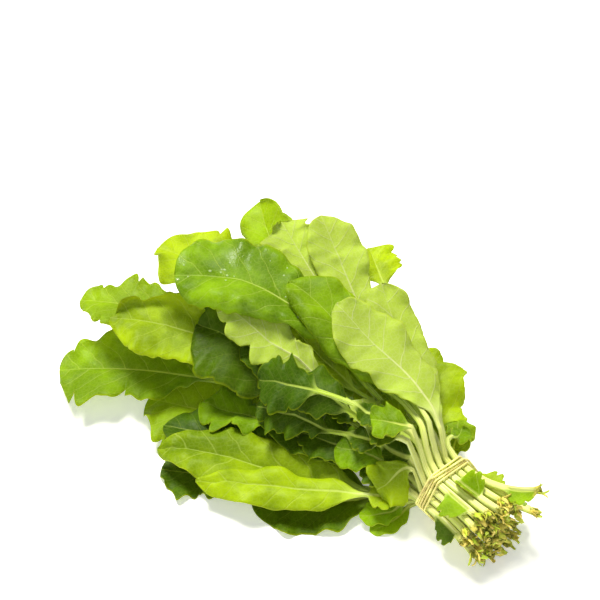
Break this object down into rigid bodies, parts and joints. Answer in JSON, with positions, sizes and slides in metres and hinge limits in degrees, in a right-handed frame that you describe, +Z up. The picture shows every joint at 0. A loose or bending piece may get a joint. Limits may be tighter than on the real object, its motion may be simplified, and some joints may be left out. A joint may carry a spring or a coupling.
{
  "type": "arugula bunch",
  "caption": "Bunch of fresh arugula lying on its side, leafy stems fanned out and tied near their cut ends by a wound rubber band.",
  "frame": {"origin": "on the table, below the middle of the bunch's bounding box", "axes": "+X from the leaf tips to the cut stem ends, the long way of the bunch; +Z up from the table it lies on"},
  "size_m": [0.2606, 0.1794, 0.0813],
  "materials": {
    "young_leaf": "yellow-green fresh leaf with a pale stem, soft sheen",
    "pale_leaf": "underside of a fresh leaf, pale green and dull, with a pale stem",
    "fresh_leaf": "bright green fresh leaf with a pale stem, soft sheen",
    "deep_leaf": "dark green fresh leaf with a pale stem, soft sheen",
    "rubber_band": "dull tan natural rubber"
  },
  "bodies": {
    "root": {"leaf_0_0": "fresh_leaf", "leaf_0_1": "deep_leaf", "leaf_0_2": "fresh_leaf", "leaf_0_3": "fresh_leaf", "leaf_1_0": "fresh_leaf", "leaf_1_1": "deep_leaf", "leaf_1_2": "deep_leaf", "leaf_1_3": "fresh_leaf", "leaf_1_4": "fresh_leaf", "leaf_2_0": "young_leaf", "leaf_2_1": "deep_leaf", "leaf_2_2": "fresh_leaf", "leaf_2_3": "fresh_leaf", "leaf_2_4": "fresh_leaf", "leaf_2_5": "fresh_leaf", "leaf_3_0": "young_leaf", "leaf_3_1": "deep_leaf", "leaf_3_2": "fresh_leaf", "leaf_3_3": "fresh_leaf", "leaf_3_4": "fresh_leaf", "leaf_3_5": "fresh_leaf", "leaf_3_6": "young_leaf", "leaf_4_0": "deep_leaf", "leaf_4_1": "fresh_leaf", "leaf_4_2": "deep_leaf", "leaf_4_3": "fresh_leaf", "leaf_4_4": "fresh_leaf", "leaf_4_5": "young_leaf", "leaf_4_6": "fresh_leaf", "leaf_4_7": "fresh_leaf", "leaf_5_0": "young_leaf", "leaf_5_1": "deep_leaf", "leaf_5_2": "deep_leaf", "leaf_5_3": "young_leaf", "leaf_5_4": "fresh_leaf", "leaf_5_5": "pale_leaf", "leaf_5_6": "young_leaf", "leaf_6_0": "deep_leaf", "leaf_6_1": "deep_leaf", "leaf_6_2": "pale_leaf", "leaf_6_3": "young_leaf", "leaf_6_4": "pale_leaf", "leaf_6_5": "pale_leaf", "leaf_7_0": "fresh_leaf", "leaf_7_1": "fresh_leaf", "leaf_7_2": "fresh_leaf", "leaf_7_3": "pale_leaf", "leaf_7_4": "fresh_leaf", "rubber_band": "rubber_band"}
  },
  "joints": []
}
